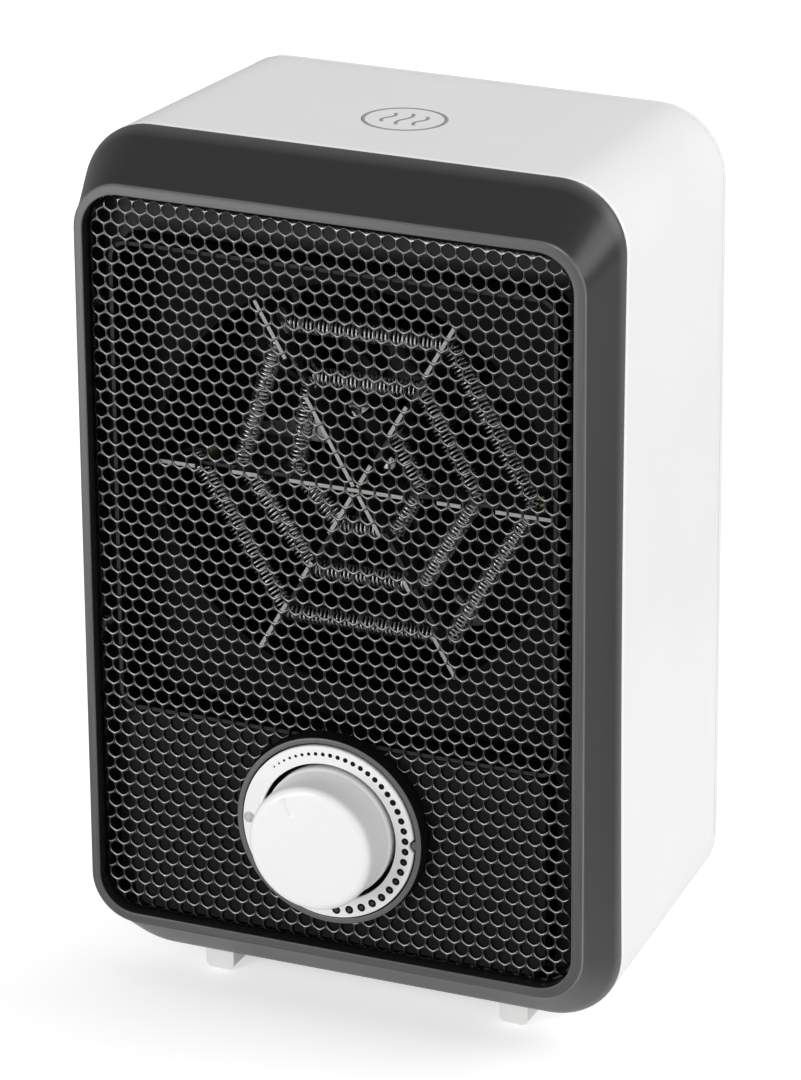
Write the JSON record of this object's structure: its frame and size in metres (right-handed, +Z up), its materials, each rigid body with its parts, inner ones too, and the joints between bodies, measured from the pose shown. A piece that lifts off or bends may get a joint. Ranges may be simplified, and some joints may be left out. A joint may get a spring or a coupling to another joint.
{
  "type": "fan heater",
  "caption": "Upright desktop fan heater: tapered shell, sloped bezel round a perforated grille, rotary dial with knob, fan and open wire element behind the grille.",
  "frame": {"origin": "centre of the bounding box's underside, on the floor under the feet", "axes": "+Z up; the grille and the knob face -Y, with the air blowing out along -Y; +X is to the right of someone who looks at the grille"},
  "size_m": [0.147, 0.1106, 0.2345],
  "materials": {
    "shell_plastic": "satin moulded",
    "bezel_plastic": "fine texture",
    "grille_steel": "satin black enamel",
    "knob_plastic": "satin moulded",
    "dark_plastic": "moulded",
    "plated_steel": "zinc plated sheet",
    "bright_steel": "bright",
    "control_plastic": "moulded",
    "mica": "pressed mica sheet",
    "heating_wire": "drawn resistance wire",
    "brass": "plain",
    "fuse_ceramic": "plain",
    "lamination_steel": "pressed laminations",
    "bobbin_plastic": "taped winding",
    "dark_rubber": "matt",
    "foot_rubber": "matt"
  },
  "bodies": {
    "housing": {"front_bezel": "bezel_plastic", "front_grille": "grille_steel", "main_shell": "shell_plastic", "rear_cover": "shell_plastic", "inner_frame": "plated_steel", "control_panel": "dark_plastic", "dial_ring": "bezel_plastic", "dial_plate": "knob_plastic", "thermostat_body": "control_plastic", "thermostat_nut": "bright_steel", "air_duct": "plated_steel", "mica_board_level": "mica", "mica_board_left": "mica", "mica_board_right": "mica", "heating_coil": "heating_wire", "coil_terminals": "brass", "thermal_cutout": "plated_steel", "thermal_fuse": "fuse_ceramic", "motor_stator": "lamination_steel", "motor_coil": "bobbin_plastic", "motor_bracket_front": "plated_steel", "motor_bracket_rear": "plated_steel", "motor_bushes": "brass", "motor_bridge": "plated_steel", "motor_screws": "bright_steel", "bridge_screws": "bright_steel", "duct_screws": "bright_steel", "frame_screws": "bright_steel", "cover_screws": "bright_steel", "terminal_block": "control_plastic", "cord_bush": "dark_rubber", "front_feet": "foot_rubber", "rear_feet": "foot_rubber", "foot_screws": "bright_steel"},
    "knob": {"control_knob": "knob_plastic", "knob_shaft": "bright_steel"},
    "fan": {"fan_impeller": "dark_plastic", "motor_shaft": "bright_steel", "motor_rotor": "bright_steel"}
  },
  "joints": [
    {"name": "knob_turn", "type": "hinge", "parent": "housing", "child": "knob", "pos_m": [0, -0.04, 0.057], "axis": [0, 1, 0], "range_deg": [-63.5, 202.5]},
    {"name": "fan_spin", "type": "hinge", "parent": "housing", "child": "fan", "pos_m": [0, 0, 0.144], "axis": [0, 1, 0], "continuous": true}
  ]
}
